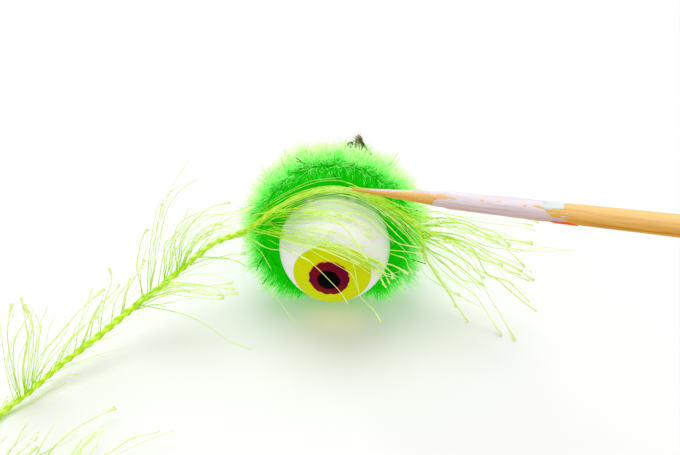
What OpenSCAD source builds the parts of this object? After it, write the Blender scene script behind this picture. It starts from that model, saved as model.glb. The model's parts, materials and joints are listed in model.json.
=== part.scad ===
// Craft stick puppet: a painted ball eye in a wound chenille mane, with an
// eyelash-yarn brow and tail, worked by a sharpened bamboo skewer.
// +Z is up and the eye looks along -Y. The origin is the middle of the skewer's
// sawn end, where a hand or a stand holds it. The head stands on a table below.

/* [Eye] */
// Outside diameter of the hollow ball
eye_d = 22; // [20:0.5:23]
// Wall of the two half shells
eye_wall = 0.9; // [0.7:0.1:1.4]
// How far the front shell's rim reaches into the back shell
lap_h = 1.4; // [1:0.1:2]
// Across the yellow disc
iris_d = 14.9; // [12:0.1:16]
// Across the maroon ring
ring_d = 7.6; // [6:0.1:10]
// Across the black pupil
pupil_d = 4.3; // [3:0.1:5.5]
// How far the gaze turns towards -X
gaze_turn = 5.4; // [0:0.2:12]
// How far the yellow disc's middle turns towards -X
iris_turn = 3.6; // [0:0.2:12]
// Thickness of one coat of paint
paint_t = 0.12; // [0.1:0.01:0.15]

/* [Mane] */
// Radius of the chenille stem's pile
pile_r = 4.2; // [3.8:0.1:4.3]
// Radius of the twisted pair of wires in the stem
wire_r = 0.55; // [0.4:0.05:0.7]
// Radius of the front turn, to the wires
front_turn_r = 14.5; // [14:0.5:15]
// Radius of the middle turn
middle_turn_r = 10.6; // [10:0.2:11]
// Radius of the back turn
back_turn_r = 5; // [4.6:0.2:5.4]
// How far the turns lean back from upright
mane_lean = 12; // [10:1:13]

/* [Yarn] */
// Diameter of the yarn's core
yarn_d = 1.5; // [1.3:0.1:1.5]
// Turns in the stored coil
coil_turns = 2.5; // [2:0.5:3]

/* [Stick] */
// Length of the skewer
stick_length = 150; // [120:10:200]
// Diameter of the bare skewer
stick_d = 3; // [2.8:0.1:3.1]
// Length of the sharpened end
taper_h = 27; // [22:1:30]
// Length from the point to the end of the old paint
painted_h = 50; // [46:1:56]
// Turn of the skewer about +Z, from +X
stick_yaw = -45.9; // [-56:0.1:-36]
// Rise of the skewer above level
stick_pitch = 24.1; // [20:0.1:30]

/* [Hidden] */
$fn = 96;

gap = 0.05;                       // room left between glued neighbours
coat_gap = 0.01;                  // room left under a coat of paint
eye_r = eye_d / 2;
eye_h = 17.9;                     // height of the eye's middle above the table
front_turn_y = 4;                 // middles of the three turns, behind the eye's middle
middle_turn_y = 10.3;
back_turn_y = 15.2;
front_turn_h = front_turn_r * cos(mane_lean) + pile_r;   // it stands on the table
middle_turn_h = 18;
back_turn_h = 17.8;
gaze_pitch = 5.6;                 // the ring and the pupil sit a little above level
iris_pitch = 0.4;                 // the yellow disc sits lower on the ball

// Pad of glue that holds the ball in the nest
pad_r = 4.4;
pad_h = 4.2;
pad_lap = 1.2;                    // how far it reaches forward past the ball's back
pile_clear = 0.1;                 // room between the pile and the ball

// Where the front turn's pile is pressed flat between the ball and the table
flat_w = 10;
flat_y = 3.8;                     // where the flat meets the table
flat_turn = 140;                  // the flat rises forward at 50 degrees from upright

// Skewer: its point, in the head's frame, and its direction out of the head
tip_spot = [2.1, 1.45, 31.1];
stick_dir = [cos(stick_pitch) * cos(stick_yaw),
             cos(stick_pitch) * sin(stick_yaw),
             sin(stick_pitch)];
point_r = 0.15;                   // the sharpened end is slightly blunt
shoulder_r = 0.94 * stick_d / 2;  // where the sharpened cone ends
head_foot = -(tip_spot + stick_length * stick_dir);

// Glue bead cast on the skewer's point
bead_r = 1.2;
bead_s = 1.1;                     // its middle, along the skewer from the point
bead_hole_h = 4;

// Old paint round the skewer
lilac_end = painted_h - 3;
teal_w = 1.8;                     // across the dab on the skewer's upper side
red_w = 2;                        // across the dab on its lower side

// Cut end of the chenille stem, where it stands out of the middle turn
cut_end = [5.4, 12.2, 31.4];
cut_end_h = 4.2;
cut_end_root = 0.4;               // depth of its hole below it
strand_r = 0.28;
strand_pitch = 2.4;
strand_steps = 14;

// Middle of the yarn's brow, from its cut end over the eye to the tail
brow_route = [[17.4, 0, 17.3], [17, -0.3, 19.7], [16, -0.5, 22.5], [12.5, -0.6, 26.3],
              [10.3, 0.2, 27.4], [7.8, 0.8, 28.6], [4.9, 1.4, 29.4], [2, 1.9, 29.7],
              [-0.5, 2, 29.9], [-2.7, 2, 29.8], [-6.6, 1.6, 28.4], [-9.5, 0.7, 27.4],
              [-12.4, -0.2, 25.9], [-15, -0.3, 23.5], [-17.8, 0.5, 20.5]];
// Middle of the yarn's tail, from the brow down to the table and the coil
tail_route = [[-17.8, 0.5, 20.5], [-20.8, 0.7, 19.1], [-24.4, 0.7, 17.2], [-29, -1.6, 14.4],
              [-33.6, -5, 12], [-37, -7.4, 10.4], [-40.2, -9.6, 9], [-45.5, -13.9, 6.6],
              [-49, -16.6, 5.2], [-52.5, -19.4, 4], [-57.2, -24.2, 2.2], [-61, -27.8, 1.2],
              [-63.4, -31.4, 0.8], [-64.5, -35.5, 0.75], [-64.75, -40, 0.75],
              [-64.75, -44.5, 0.75], [-64.75, -49, 0.75]];
coil_spot = [-55, -49, 0];
coil_r = coil_spot.x - tail_route[len(tail_route) - 1].x;   // to its outermost turn

// Drops of glue that hold the brow on the ball
drop_spots = [[-4.6, 2, 26.9], [3.4, 1.6, 27.4]];
drop_r = 0.8;
drop_h = 1.6;

// ---- helpers ----

function unit(v) = v / norm(v);

// A Catmull-Rom point between p[i] and p[i + 1], at t from 0 to 1
function spline_point(p, i, t) =
    let (a = p[max(i - 1, 0)], b = p[i], c = p[i + 1], d = p[min(i + 2, len(p) - 1)])
    0.5 * (2 * b + (c - a) * t + (2 * a - 5 * b + 4 * c - d) * t * t
           + (3 * b - a - 3 * c + d) * t * t * t);

function smooth(p, steps) =
    [for (i = [0:len(p) - 2], k = [0:steps - 1]) spline_point(p, i, k / steps), p[len(p) - 1]];

function heading(p, i) = unit(p[min(i + 1, len(p) - 1)] - p[max(i - 1, 0)]);

// A tube of flat sides along the points p; side is a direction never along the tube
module tube(p, r, sides, side) {
    n = len(p);
    rings = [for (i = [0:n - 1])
        let (t = heading(p, i), u = unit(cross(side, t)), v = cross(t, u))
        for (k = [0:sides - 1])
            p[i] + r * (cos(360 * k / sides) * u + sin(360 * k / sides) * v)];
    walls = [for (i = [0:n - 2], k = [0:sides - 1])
        let (a = i * sides + k, b = i * sides + (k + 1) % sides)
        [a, a + sides, b + sides, b]];
    near_end = [for (k = [0:sides - 1]) k];
    far_end = [for (k = [sides - 1:-1:0]) (n - 1) * sides + k];
    polyhedron(rings, concat(walls, [near_end, far_end]), convexity = 6);
}

// The head's frame: origin on the table under the eye
module on_head() translate(head_foot) children();

// A frame with its origin at the ball's middle and +Z out of the ball's front
module on_eye(turn, pitch)
    on_head() translate([0, 0, eye_h]) rotate([0, 0, -turn]) rotate([90 - pitch, 0, 0])
        children();

// The skewer's frame: origin at its point, +Z towards the sawn end
module on_stick()
    on_head() translate(tip_spot) rotate([0, 90 - stick_pitch, stick_yaw]) children();

module eye_ball(r) on_head() translate([0, 0, eye_h]) sphere(r);

// A closed turn of chenille stem of pile radius r, leaning back, with its middle at
// a height h and a distance y behind the eye's middle
module turn(turn_r, y, h, r)
    on_head() translate([0, y, h]) rotate([90 - mane_lean, 0, 0])
        rotate_extrude() translate([turn_r, 0]) circle(r);

module front_turn(r) turn(front_turn_r, front_turn_y, front_turn_h, r);

module middle_turn(r) turn(middle_turn_r, middle_turn_y, middle_turn_h, r);

module back_turn(r) turn(back_turn_r, back_turn_y, back_turn_h, r);

// ---- eye ----

module eye_front_shell() color("white") {
    on_head() translate([0, 0, eye_h]) difference() {
        sphere(eye_r);
        sphere(eye_r - eye_wall);
        translate([-eye_d, 0, -eye_d]) cube([2 * eye_d, eye_d, 2 * eye_d]);
    }
    on_head() translate([0, 0, eye_h]) rotate([-90, 0, 0]) lap_rim();
}

// The front shell's inner rim, which laps into the back shell
module lap_rim()
    difference() {
        cylinder(h = lap_h, r = eye_r - eye_wall / 2);
        translate([0, 0, -1]) cylinder(h = lap_h + 2, r = eye_r - eye_wall);
    }

module eye_back_shell() color("whitesmoke")
    on_head() translate([0, 0, eye_h]) difference() {
        sphere(eye_r);
        sphere(eye_r - eye_wall);
        translate([-eye_d, -eye_d, -eye_d]) cube([2 * eye_d, eye_d, 2 * eye_d]);
        rotate([-90, 0, 0]) translate([0, 0, -1])
            cylinder(h = lap_h + 1 + gap, r = eye_r - eye_wall / 2 + gap);
    }

// A coat of paint on the ball, d across, with its under side at radius r
module paint_coat(d, r, turn, pitch)
    on_eye(turn, pitch) intersection() {
        difference() {
            sphere(r + paint_t);
            sphere(r);
        }
        cylinder(h = eye_d, d = d);
    }

module iris_disc() color("yellow") paint_coat(iris_d, eye_r + coat_gap, iris_turn, iris_pitch);

module iris_ring() color("maroon")
    difference() {
        paint_coat(ring_d, eye_r + 2 * coat_gap + paint_t, gaze_turn, gaze_pitch);
        on_eye(gaze_turn, gaze_pitch) cylinder(h = eye_d, d = pupil_d);
    }

module pupil_dot() color("black")
    paint_coat(pupil_d - 2 * coat_gap, eye_r + 2 * coat_gap + paint_t, gaze_turn, gaze_pitch);

module eye_glue_pad() color("ivory")
    difference() {
        on_head() translate([0, eye_r - pad_lap, eye_h]) rotate([-90, 0, 0])
            cylinder(h = pad_h, r = pad_r);
        eye_ball(eye_r + gap);
        back_turn(pile_r + gap);
        middle_turn(pile_r + gap);
    }

// ---- mane: one chenille stem wound into a nest of three turns ----

module mane_front_turn() color("lime")
    difference() {
        front_turn(pile_r);
        front_turn(wire_r + gap);      // the twisted wires run here
        eye_ball(eye_r + pile_clear);
        pressed_flat();
    }

// The pile right under the ball, which is pressed back until it hides behind the ball
module pressed_flat()
    on_head() translate([-flat_w / 2, flat_y, 0]) rotate([flat_turn, 0, 0])
        cube([flat_w, 3 * pile_r, 2 * pile_r]);

module mane_middle_turn() color("limegreen")
    difference() {
        middle_turn(pile_r);
        middle_turn(wire_r + gap);
        eye_ball(eye_r + pile_clear);
        front_turn(pile_r + gap);
        cut_end_hole();
    }

module mane_back_turn() color("green")
    difference() {
        back_turn(pile_r);
        back_turn(wire_r + gap);
        eye_ball(eye_r + pile_clear);
        middle_turn(pile_r + gap);
    }

module front_turn_wires() color("silver") front_turn(wire_r);

module middle_turn_wires() color("silver") middle_turn(wire_r);

module back_turn_wires() color("silver") back_turn(wire_r);

// Where the stem's cut end comes out through the pile
module cut_end_hole()
    on_head() translate(cut_end - [0, 0, cut_end_root])
        cylinder(h = cut_end_h, r = 2 * strand_r + 2 * gap);

// One strand of the twisted pair, starting at the given angle
function strand(start) =
    [for (i = [0:strand_steps])
        let (h = i * cut_end_h / strand_steps, a = start + 360 * h / strand_pitch)
        [(strand_r + gap) * cos(a), (strand_r + gap) * sin(a), h]];

module wire_cut_end() color("darkolivegreen")
    on_head() translate(cut_end) {
        tube(strand(0), strand_r, 8, [1, 0.3, 0]);
        tube(strand(180), strand_r, 8, [1, 0.3, 0]);
    }

// ---- eyelash yarn ----

module yarn_brow() color("yellowgreen")
    on_head() tube(smooth(brow_route, 2), yarn_d / 2, 8, [0, 1, 0.1]);

module yarn_glue_drops() color("ivory")
    for (spot = drop_spots)
        difference() {
            on_head() translate(spot) cylinder(h = drop_h, r = drop_r);
            eye_ball(eye_r + coat_gap);
        }

module yarn_tail() color("yellowgreen")
    on_head() tube(smooth(tail_route, 2), yarn_d / 2, 8, [0, 0, 1]);

// The outer shape of the flat coil that stores the rest of the yarn
module yarn_coil() color("olivedrab")
    on_head() translate(coil_spot) rotate_extrude() {
        inner_r = coil_r - coil_turns * yarn_d;
        translate([inner_r - yarn_d / 2, 0])
            square([coil_turns * yarn_d + yarn_d, yarn_d]);
    }

// ---- stick ----

// The skewer's radius at a length s from its point
function skewer_r(s) =
    s < taper_h ? point_r + (shoulder_r - point_r) * s / taper_h
    : shoulder_r + (stick_d / 2 - shoulder_r) * (s - taper_h) / (painted_h - taper_h);

module skewer() color("burlywood")
    on_stick() {
        cylinder(h = taper_h, r1 = point_r, r2 = shoulder_r);
        translate([0, 0, taper_h])
            cylinder(h = painted_h - taper_h, r1 = shoulder_r, r2 = stick_d / 2);
        translate([0, 0, painted_h]) cylinder(h = stick_length - painted_h, r = stick_d / 2);
    }

// A sleeve of paint round the skewer from one length to another
module sleeve(s1, s2)
    difference() {
        translate([0, 0, s1])
            cylinder(h = s2 - s1, r1 = skewer_r(s1) + paint_t, r2 = skewer_r(s2) + paint_t);
        translate([0, 0, s1 - gap])
            cylinder(h = s2 - s1 + 2 * gap,
                     r1 = skewer_r(s1 - gap) + coat_gap, r2 = skewer_r(s2 + gap) + coat_gap);
    }

module lilac_paint() color("thistle") on_stick() sleeve(taper_h, lilac_end);

module teal_dab() color("paleturquoise")
    on_stick() intersection() {
        sleeve(lilac_end + coat_gap, painted_h - 0.5);
        translate([-stick_d, -teal_w / 2, lilac_end]) cube([stick_d, teal_w, stick_d]);
    }

module red_dab() color("orangered")
    on_stick() intersection() {
        sleeve(lilac_end + coat_gap, painted_h);
        translate([0, -red_w / 2, lilac_end]) cube([stick_d, red_w, 2 * stick_d]);
    }

module tip_glue_bead() color("ivory")
    on_stick() difference() {
        translate([0, 0, bead_s]) sphere(bead_r);
        translate([0, 0, -gap])
            cylinder(h = bead_hole_h, r1 = point_r + gap, r2 = skewer_r(bead_hole_h) + gap);
    }

eye_front_shell();
eye_back_shell();
iris_disc();
iris_ring();
pupil_dot();
eye_glue_pad();
mane_front_turn();
mane_middle_turn();
mane_back_turn();
front_turn_wires();
middle_turn_wires();
back_turn_wires();
wire_cut_end();
yarn_brow();
yarn_glue_drops();
yarn_tail();
yarn_coil();
tip_glue_bead();
skewer();
lilac_paint();
teal_dab();
red_dab();
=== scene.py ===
"""Looks of a craft stick puppet: a painted ball eye in a wound chenille mane, with an
eyelash-yarn brow and tail, and a sharpened bamboo skewer.

Lengths are millimetres in the head's frame: the origin is on the table under the eye,
+Z is up and the eye looks along -Y. place() turns them into the row frame's metres.
"""

import json
import math

import bpy
import numpy as np
from mathutils import Matrix, Vector


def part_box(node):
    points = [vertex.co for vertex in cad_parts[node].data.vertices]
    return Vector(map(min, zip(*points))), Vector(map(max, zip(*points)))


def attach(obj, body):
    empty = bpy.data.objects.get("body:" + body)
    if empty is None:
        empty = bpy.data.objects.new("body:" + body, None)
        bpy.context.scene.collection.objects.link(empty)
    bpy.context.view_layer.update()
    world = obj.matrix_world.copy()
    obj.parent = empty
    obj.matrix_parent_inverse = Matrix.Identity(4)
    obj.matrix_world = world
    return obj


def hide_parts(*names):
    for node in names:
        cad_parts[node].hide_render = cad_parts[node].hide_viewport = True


MM = 0.001

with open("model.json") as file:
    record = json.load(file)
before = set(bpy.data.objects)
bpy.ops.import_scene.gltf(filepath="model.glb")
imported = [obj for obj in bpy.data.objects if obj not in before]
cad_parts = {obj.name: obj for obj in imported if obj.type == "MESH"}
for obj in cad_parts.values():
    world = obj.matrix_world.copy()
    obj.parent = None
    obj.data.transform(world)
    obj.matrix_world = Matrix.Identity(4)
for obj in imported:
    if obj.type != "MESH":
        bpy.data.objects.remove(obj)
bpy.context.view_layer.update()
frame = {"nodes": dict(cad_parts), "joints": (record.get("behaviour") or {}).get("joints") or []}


# ---- measures, worked out from the frame ----

def middle(node):
    low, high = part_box(node)
    return (low + high) / 2


def extent(node):
    low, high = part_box(node)
    return high - low


WIRE_R = 0.55
TABLE_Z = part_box("mane_front_turn")[0].z
FOOT = np.array([middle("eye_front_shell").x,
                 (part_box("eye_front_shell")[0].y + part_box("eye_back_shell")[1].y) / 2,
                 TABLE_Z])


def place(points):
    """Head-frame millimetres to row-frame metres."""
    return FOOT + np.asarray(points, float) * MM


def head_frame(point):
    """Row-frame metres to head-frame millimetres."""
    return (np.array(point, float) - FOOT) / MM


def unit(v):
    return v / np.maximum(np.linalg.norm(v, axis=-1, keepdims=True), 1e-9)


def circle(turns):
    """Even angles all round."""
    return 2 * math.pi * np.arange(turns) / turns


def swung(u, v, angle):
    """Directions at an angle from u towards v."""
    return np.cos(angle)[..., None] * u + np.sin(angle)[..., None] * v


def turn_of(node):
    """Radius, middle and backward lean of one turn of the chenille stem, from its wires."""
    size = extent(node) / MM
    r = size.x / 2 - WIRE_R
    return r, head_frame(middle(node)), math.asin((size.y / 2 - WIRE_R) / r)


# The two halves of the eye meet at y = 0, so its middle is there
EYE = head_frame(middle("eye_front_shell"))
EYE[1] = 0.0
EYE_R = extent("eye_front_shell").x / 2 / MM
GAZE = unit(head_frame(middle("pupil_dot")) - EYE)
IRIS_WAY = unit(head_frame(middle("iris_disc")) - EYE)
IRIS_R = extent("iris_disc").z / 2 / MM
RING_R = extent("iris_ring").z / 2 / MM
PUPIL_R = extent("pupil_dot").z / 2 / MM
TWIRL = next(j for j in frame["joints"] if j["name"] == "stick_twirl")
TIP = head_frame(TWIRL["pos_m"])
STICK_DIR = unit(np.array(TWIRL["axis"], float))
STICK_END = head_frame([0, 0, 0])
STICK_LENGTH = float(np.linalg.norm(STICK_END - TIP))
STICK_R = 1.5
TAPER_H = 27.0
PAINTED_H = 50.0
YARN_D = 1.5


def add_object(name, data):
    made = bpy.data.objects.new(name, data)
    bpy.context.scene.collection.objects.link(made)
    return made


# ---- camera, then the cord's route ----

CAMERA_SPOT = [1.07, -119.49, 122.4]
CAMERA_DOWN = 40.0
LENS = 42.35


def make_camera():
    data = bpy.data.cameras.new("camera")
    data.sensor_width = 36.0
    data.lens = LENS
    data.clip_start = 0.005
    camera = add_object("camera", data)
    camera.location = place(CAMERA_SPOT)
    camera.rotation_euler = (math.radians(90 - CAMERA_DOWN), 0, 0)
    bpy.context.scene.camera = camera


make_camera()

BROW_ROUTE = [[17.4, 0, 17.3], [17, -0.3, 19.7], [16, -0.5, 22.5], [12.5, -0.6, 26.3],
              [10.3, 0.2, 27.4], [7.8, 0.8, 28.6], [4.9, 1.4, 29.4], [2, 1.9, 29.7],
              [-0.5, 2, 29.9], [-2.7, 2, 29.8], [-6.6, 1.6, 28.4], [-9.5, 0.7, 27.4],
              [-12.4, -0.2, 25.9], [-15, -0.3, 23.5], [-17.8, 0.5, 20.5]]
TAIL_ROUTE = [[-17.8, 0.5, 20.5], [-20.8, 0.7, 19.1], [-24.4, 0.7, 17.2], [-29, -1.6, 14.4],
              [-33.6, -5, 12], [-37, -7.4, 10.4], [-40.2, -9.6, 9], [-45.5, -13.9, 6.6],
              [-49, -16.6, 5.2], [-52.5, -19.4, 4], [-57.2, -24.2, 2.2], [-61, -27.8, 1.2],
              [-63.4, -31.4, 0.8], [-64.5, -35.5, 0.75], [-64.75, -40, 0.75],
              [-64.75, -44.5, 0.75], [-64.75, -49, 0.75]]
COIL_SPOT = [-55.0, -49.0]
COIL_TURNS = 2.5
COIL_POINTS_A_TURN = 24


def coil_route():
    """The stored yarn: a flat spiral from the end of the tail's route inwards."""
    outer_r = COIL_SPOT[0] - TAIL_ROUTE[-1][0]
    points = []
    for i in range(1, int(COIL_TURNS * COIL_POINTS_A_TURN) + 1):
        turns = i / COIL_POINTS_A_TURN
        angle = math.pi + 2 * math.pi * turns
        r = outer_r - YARN_D * turns
        points.append([COIL_SPOT[0] + r * math.cos(angle),
                       COIL_SPOT[1] + r * math.sin(angle), YARN_D / 2])
    return points


# ---- curves ----

def smooth(points, steps):
    """A Catmull-Rom curve through the points, with steps stretches between two of them."""
    p = np.asarray(points, float)
    p = np.vstack([2 * p[0] - p[1], p, 2 * p[-1] - p[-2]])
    t = (np.arange(steps) / steps)[:, None]
    made = []
    for a, b, c, d in zip(p[:-3], p[1:-2], p[2:-1], p[3:]):
        made.append(0.5 * (2 * b + (c - a) * t + (2 * a - 5 * b + 4 * c - d) * t ** 2
                           + (3 * b - a - 3 * c + d) * t ** 3))
    return np.vstack(made + [p[-2:-1]])


def spaced(points, count):
    """The curve's points moved to count even steps along it."""
    run = np.concatenate([[0], np.cumsum(np.linalg.norm(np.diff(points, axis=0), axis=1))])
    want = np.linspace(0, run[-1], count)
    return np.stack([np.interp(want, run, points[:, k]) for k in range(3)], 1)


def run_length(points):
    return float(np.linalg.norm(np.diff(points, axis=0), axis=1).sum())


def along(lines, t):
    """Points of each line (F, n, 3) at shares t (F, m) of its length."""
    spot = np.clip(t, 0, 1) * (lines.shape[1] - 1)
    low = np.minimum(spot.astype(int), lines.shape[1] - 2)
    mix = (spot - low)[..., None]
    pick = np.arange(len(lines))[:, None]
    return lines[pick, low] * (1 - mix) + lines[pick, low + 1] * mix


def keep_clear(points, ball_gap=0.4, table_gap=0.15):
    """Pushes points out of the ball and up off the table."""
    out = points - EYE
    far = np.maximum(np.linalg.norm(out, axis=-1, keepdims=True), 1e-6)
    points = np.where(far < EYE_R + ball_gap, EYE + out / far * (EYE_R + ball_gap), points)
    points[..., 2] = np.maximum(points[..., 2], table_gap)
    return points


def grow(roots, way, length, sag, sway, steps=16):
    """Filaments that grow from roots along way, and bend by sag and by their own sway."""
    step = (length / steps)[:, None]
    at, lines = roots, [roots]
    for _ in range(steps):
        way = unit(way + (sag + sway) * step)
        ahead = keep_clear(at + way * step)
        way = unit(ahead - at)
        at = ahead
        lines.append(at)
    return np.stack(lines, 1)


# ---- mesh tools ----

def mesh_of(name, verts, groups, shades=None):
    """A mesh from head-frame points and groups of faces; shades are the faces' slots."""
    mesh = bpy.data.meshes.new(name)
    groups = [np.asarray(g) for g in groups]
    corners = np.concatenate([g.ravel() for g in groups])
    counts = np.concatenate([np.full(len(g), g.shape[1]) for g in groups])
    verts = place(verts)
    mesh.vertices.add(len(verts))
    mesh.vertices.foreach_set("co", verts.astype(np.float32).ravel())
    mesh.loops.add(len(corners))
    mesh.loops.foreach_set("vertex_index", corners.astype(np.int32))
    mesh.polygons.add(len(counts))
    starts = np.concatenate([[0], np.cumsum(counts)[:-1]])
    mesh.polygons.foreach_set("loop_start", starts.astype(np.int32))
    if shades is not None:
        mesh.polygons.foreach_set("material_index", np.asarray(shades, np.int32))
    mesh.polygons.foreach_set("use_smooth", np.ones(len(counts), bool))
    mesh.update(calc_edges=True)
    mesh.validate()
    return mesh


def ring_faces(count, turns):
    """Faces of a closed skin over count rings of turns points each: its walls and two caps."""
    index = np.arange(count * turns).reshape(count, turns)
    near, far = index[:-1], index[1:]
    walls = np.stack([near, np.roll(near, -1, 1), np.roll(far, -1, 1), far], -1)
    return [walls.reshape(-1, 4), np.stack([index[0, ::-1], index[-1]])]


def piece(name, mesh, body, materials, stands_for):
    """A visible piece that rides on a body and may stand for CAD nodes."""
    made = add_object(name, mesh)
    for material in materials:
        made.data.materials.append(material)
    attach(made, body)
    if stands_for:
        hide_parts(*stands_for)
    return made


def tubes(name, lines, wide, thick, side, sides, materials, stands_for=(), shades=0):
    """Many closed tubes along lines (F, n, 3), as one piece on the head.

    wide and thick are their half-sizes across and along each tube's own normal, and shades
    gives each stretch's material slot."""
    wide, thick = (np.broadcast_to(size, lines.shape[:2])[..., None] for size in (wide, thick))
    ahead = unit(np.gradient(lines, axis=1))
    u = unit(np.cross(ahead, side[:, None] if side.ndim == 2 else side))
    v = np.cross(ahead, u)
    angle = circle(sides)
    rings = (lines[:, :, None]
             + (wide * u)[:, :, None] * np.cos(angle)[:, None]
             + (thick * v)[:, :, None] * np.sin(angle)[:, None])
    index = np.arange(rings[..., 0].size).reshape(rings.shape[:3])
    near, far = index[:, :-1], index[:, 1:]
    walls = np.stack([near, np.roll(near, -1, 2), np.roll(far, -1, 2), far], -1)
    caps = np.concatenate([index[:, 0, ::-1], index[:, -1]])
    steps = np.broadcast_to(shades, walls.shape[:2])
    slots = np.concatenate([np.repeat(steps.ravel(), sides), steps[:, 0], steps[:, -1]])
    mesh = mesh_of(name, rings.reshape(-1, 3), [walls.reshape(-1, 4), caps], slots)
    return piece(name, mesh, "head", materials, stands_for)


# ---- materials ----

def plain(name, color, roughness, **more):
    """A material whose values are the same all over, set on the shader itself."""
    material = bpy.data.materials.new(name)
    material.use_nodes = True
    shader = material.node_tree.nodes["Principled BSDF"]
    shader.inputs["Base Color"].default_value = (*color, 1)
    shader.inputs["Roughness"].default_value = roughness
    for key, value in more.items():
        shader.inputs[key.replace("_", " ")].default_value = value
    return material


def node_kit(material):
    """The material's shader, with shorthands that make and join the tree's nodes."""
    tree = material.node_tree

    def make(kind, vector=None, **inputs):
        made = tree.nodes.new(kind)
        for key, value in inputs.items():
            made.inputs[key.replace("_", " ")].default_value = value
        if vector:
            tree.links.new(vector, made.inputs["Vector"])
        return made

    return tree.nodes["Principled BSDF"], make, tree.links.new


def tinted(make, join, noise, stops, target):
    """Colours a socket from a noise, by a ramp of stops."""
    ramp = make("ShaderNodeValToRGB")
    elements = ramp.color_ramp.elements
    while len(elements) < len(stops):
        elements.new(0.5)
    for element, (spot, color) in zip(elements, stops):
        element.position = spot
        element.color = (*color, 1)
    join(noise.outputs["Fac"], ramp.inputs["Fac"])
    join(ramp.outputs["Color"], target)


def embossed(make, join, noise, strength, shader):
    """A fine bump from a noise."""
    relief = make("ShaderNodeBump", Strength=strength, Distance=0.0001)
    join(noise.outputs["Fac"], relief.inputs["Height"])
    join(relief.outputs["Normal"], shader.inputs["Normal"])


def patterned(name, stops, scale, roughness, bump, shine, stretch=(1, 1, 1)):
    """Colour bands from noise stretched along the piece's own axes, with a fine bump."""
    material = plain(name, stops[0][1], roughness, Specular_IOR_Level=shine)
    shader, make, join = node_kit(material)
    where = make("ShaderNodeTexCoord").outputs["Object"]
    spread = make("ShaderNodeMapping", where, Scale=stretch).outputs["Vector"]
    noise = make("ShaderNodeTexNoise", spread, Scale=scale, Detail=6.0, Roughness=0.6)
    fine = make("ShaderNodeTexNoise", spread, Scale=scale * 3, Detail=4.0)
    tinted(make, join, noise, stops, shader.inputs["Base Color"])
    embossed(make, join, fine, bump, shader)
    return material


def dyed_with_painted_glow(name, color, roughness, shine, glow, strength):
    """A plain material in the dye's colour with a painted glow: a faint emission that brightens the
    fibres beyond what the lamps give them.
    """
    return plain(name, color, roughness, Specular_IOR_Level=shine,
                 Emission_Color=(*glow, 1), Emission_Strength=strength)


BALL_WHITE = patterned("ball_white", [(0.3, (0.86, 0.83, 0.86)), (0.7, (0.91, 0.89, 0.91))],
                       220, 0.4, 0.05, 0.2)
IRIS_PAINT = patterned("iris_paint", [(0.3, (0.61, 0.67, 0.0)), (0.7, (0.67, 0.73, 0.0))],
                       500, 0.6, 0.2, 0.03, (1, 1, 2.5))
HALO_PAINT = patterned("halo_paint", [(0.3, (0.75, 0.18, 0.0)), (0.7, (0.75, 0.4, 0.02))],
                       900, 0.5, 0.2, 0.05)
RING_PAINT = patterned("ring_paint", [(0.3, (0.1, 0.0, 0.03)), (0.5, (0.19, 0.001, 0.008))],
                       350, 0.5, 0.3, 0.04)
PUPIL_PAINT = patterned("pupil_paint", [(0.5, (0.0005, 0.0005, 0.001)), (0.85, (0.01, 0.0, 0.008))],
                        700, 0.4, 0.3, 0.02)
GLUE = plain("craft_glue", (0.8, 0.92, 0.6), 0.25, Transmission_Weight=0.2, IOR=1.45)
TINSEL_DARK = plain("tinsel_dark", (0.06, 0.1, 0.03), 0.25, Metallic=0.8)
TUFT_OLIVE = plain("tuft_olive", (0.2, 0.19, 0.07), 0.6)
TUFT_SAND = plain("tuft_sand", (0.52, 0.47, 0.27), 0.6)
WIRE_STAIN = plain("wire_stain", (0.035, 0.04, 0.02), 0.5)
# The stem's wires are tinted green and given a painted glow, so that they don't show dark in the pile's
# shade.
WIRE_METAL = dyed_with_painted_glow("wire_metal", (0.02, 0.5, 0.02), 0.6, 0.5, (0.0, 1.0, 0.0), 0.05)
# The pile's painted light and shade, from deep shaded green through mid to lit pale and lit tip
PILE_LIT_AND_SHADED = [dyed_with_painted_glow("pile_painted_shade", (0.005, 0.68, 0.0), 0.8, 0.02, (0.02, 1.0, 0.0), 0.17),
               dyed_with_painted_glow("pile_mid", (0.05, 0.88, 0.04), 0.8, 0.05, (0.1, 1.0, 0.05), 0.14),
               dyed_with_painted_glow("pile_lit_pale", (0.4, 0.96, 0.3), 0.7, 0.1, (0.35, 1.0, 0.22), 0.24),
               dyed_with_painted_glow("pile_lit_tip", (0.78, 0.97, 0.52), 0.6, 0.15, (0.55, 1.0, 0.35), 0.26)]
CORE_SHADES = [dyed_with_painted_glow("yarn_deep", (0.45, 0.72, 0.01), 0.6, 0.15, (0.5, 1.0, 0.05), 0.08),
               dyed_with_painted_glow("yarn_pale", (0.62, 0.86, 0.08), 0.6, 0.15, (0.6, 1.0, 0.1), 0.12)]
LASH_SHADES = [dyed_with_painted_glow("lash_root", (0.5, 0.78, 0.03), 0.5, 0.2, (0.5, 1.0, 0.05), 0.1),
               dyed_with_painted_glow("lash_pale", (0.66, 0.88, 0.2), 0.5, 0.2, (0.65, 1.0, 0.2), 0.14),
               dyed_with_painted_glow("lash_tip", (0.78, 0.92, 0.34), 0.5, 0.2, (0.75, 1.0, 0.35), 0.14)]


# ---- eye ----

def pole_frame(pole):
    """Two directions square to the pole and to each other."""
    u = unit(np.cross(pole, [0, 0, 1.0]))
    return u, np.cross(u, pole)


def dome_grid(pole, tilts, radii, turns):
    """Rings about a pole through the eye's middle, one per tilt (radians) and radius."""
    across = swung(*pole_frame(pole), circle(turns))
    return (EYE + radii[..., None] * (np.cos(tilts)[..., None] * pole
                                      + np.sin(tilts)[..., None] * across))


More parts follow.
